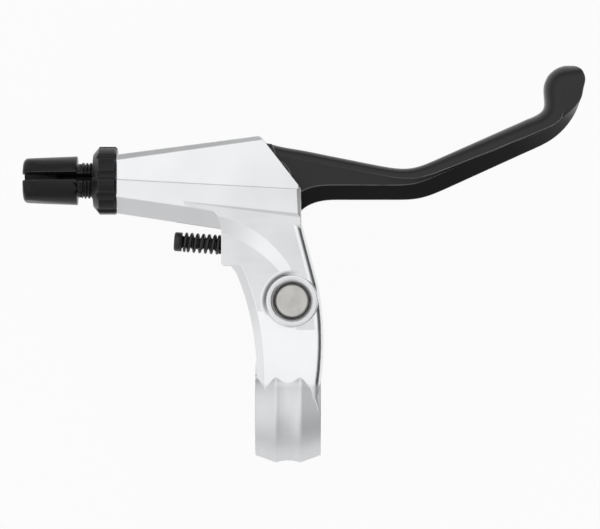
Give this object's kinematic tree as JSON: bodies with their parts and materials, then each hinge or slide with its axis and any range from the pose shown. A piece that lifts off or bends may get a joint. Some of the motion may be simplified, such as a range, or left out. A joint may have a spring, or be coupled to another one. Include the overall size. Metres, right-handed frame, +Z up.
{
  "type": "bicycle brake lever",
  "caption": "Right-hand brake lever for a flat handlebar: forged split-clamp bracket, black blade with a bulb tip, slotted cable adjuster with lock ring, and a sprung reach screw.",
  "frame": {"origin": "centre of the handlebar bore, on the bar axis, midway along the clamp", "axes": "+X along the handlebar towards the blade tip, +Y forward from the handlebar to the blade, +Z up along the pivot axle"},
  "size_m": [0.1554, 0.1099, 0.0312],
  "materials": {
    "polished_forging": "polished",
    "black_blade": "satin black anodised",
    "black_adjuster": "satin black anodised",
    "axle_steel": "satin",
    "plated_steel": "plated",
    "black_steel": "black oxide",
    "bush_polymer": "moulded"
  },
  "bodies": {
    "bracket": {"bracket": "polished_forging", "pivot_axle": "axle_steel", "axle_clip": "plated_steel", "clamp_bolt": "plated_steel", "reach_spring": "black_steel"},
    "lever": {"lever_blade": "black_blade", "upper_bush": "bush_polymer", "lower_bush": "bush_polymer"},
    "adjuster": {"adjuster_bolt": "black_adjuster"},
    "lock_ring": {"lock_ring": "black_adjuster"},
    "reach_screw": {"reach_screw": "black_steel"}
  },
  "joints": [
    {"name": "lever_pivot", "type": "hinge", "parent": "bracket", "child": "lever", "pos_m": [0.0011, 0.03, 0], "axis": [0, 0, -1], "range_deg": [0, 35]},
    {"name": "adjuster_turn", "type": "hinge", "parent": "bracket", "child": "adjuster", "pos_m": [-0.0472, 0.0632, 0], "axis": [1, 0, 0], "continuous": true},
    {"name": "lock_ring_turn", "type": "hinge", "parent": "bracket", "child": "lock_ring", "pos_m": [-0.0472, 0.0632, 0], "axis": [1, 0, 0], "continuous": true},
    {"name": "reach_screw_turn", "type": "hinge", "parent": "bracket", "child": "reach_screw", "pos_m": [-0.0184, 0.0454, 0], "axis": [0.9972, -0.075, 0], "continuous": true}
  ]
}
